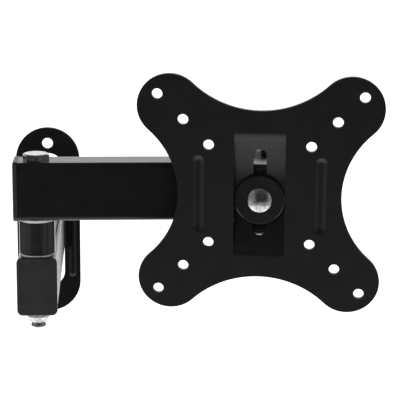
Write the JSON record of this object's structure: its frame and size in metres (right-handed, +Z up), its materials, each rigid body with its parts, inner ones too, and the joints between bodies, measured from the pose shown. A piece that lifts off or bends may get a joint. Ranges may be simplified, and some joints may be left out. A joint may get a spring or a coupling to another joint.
{
  "type": "full motion screen wall mount",
  "caption": "Wall mount with two stacked folding arms, a swivel head and a tilting square-pattern screen plate.",
  "frame": {"origin": "centre of the wall plate's back face", "axes": "+Y into the wall, +Z up, +X to the right as seen from the room"},
  "size_m": [0.1897, 0.1865, 0.1708],
  "materials": {
    "powder_coat": "satin black powder coat",
    "cap_plastic": "moulded, lightly grained",
    "spacer_plastic": "turned black plastic",
    "disc_plastic": "moulded, smooth",
    "insert_nylon": "translucent nylon",
    "washer_nylon": "natural nylon",
    "zinc_steel": "bright zinc plate"
  },
  "bodies": {
    "wall_bracket": {"wall_plate": "powder_coat", "wall_pivot_bolt": "zinc_steel", "wall_pivot_nut": "zinc_steel", "wall_pivot_nut_ring": "insert_nylon", "wall_upper_washer": "washer_nylon", "wall_lower_washer": "washer_nylon"},
    "rear_arm": {"rear_arm_tube": "powder_coat", "rear_arm_wall_cap": "cap_plastic", "rear_arm_elbow_cap": "cap_plastic", "rear_arm_wall_sleeve": "zinc_steel", "rear_arm_elbow_sleeve": "zinc_steel", "elbow_bolt": "zinc_steel", "elbow_nut": "zinc_steel", "elbow_nut_ring": "insert_nylon", "elbow_spacer": "spacer_plastic", "elbow_lower_washer": "washer_nylon", "elbow_upper_washer": "washer_nylon"},
    "front_arm": {"front_arm_tube": "powder_coat", "front_arm_elbow_cap": "cap_plastic", "front_arm_head_cap": "cap_plastic", "front_arm_elbow_sleeve": "zinc_steel", "front_arm_head_sleeve": "zinc_steel"},
    "head": {"head_bracket": "powder_coat", "head_pivot_bolt": "zinc_steel", "head_pivot_nut": "zinc_steel", "head_pivot_nut_ring": "insert_nylon", "head_upper_washer": "washer_nylon", "head_lower_washer": "washer_nylon", "tilt_bolt": "zinc_steel", "tilt_disc": "disc_plastic", "tilt_washer": "zinc_steel", "tilt_nut": "zinc_steel", "tilt_nut_ring": "insert_nylon"},
    "screen_plate": {"vesa_plate": "powder_coat"}
  },
  "joints": [
    {"name": "wall_swivel", "type": "hinge", "parent": "wall_bracket", "child": "rear_arm", "pos_m": [0, -0.0195, 0], "axis": [0, 0, 1], "range_deg": [-90, 90]},
    {"name": "elbow", "type": "hinge", "parent": "rear_arm", "child": "front_arm", "pos_m": [0, -0.1355, 0], "axis": [0, 0, 1], "range_deg": [-115, 65]},
    {"name": "head_swivel", "type": "hinge", "parent": "front_arm", "child": "head", "pos_m": [0.116, -0.1355, 0.0492], "axis": [0, 0, 1], "range_deg": [-11, 98]},
    {"name": "head_tilt", "type": "hinge", "parent": "head", "child": "screen_plate", "pos_m": [0.10254, -0.23128, 0.0492], "axis": [0.9903, -0.1392, 0], "range_deg": [-18, 10]}
  ]
}
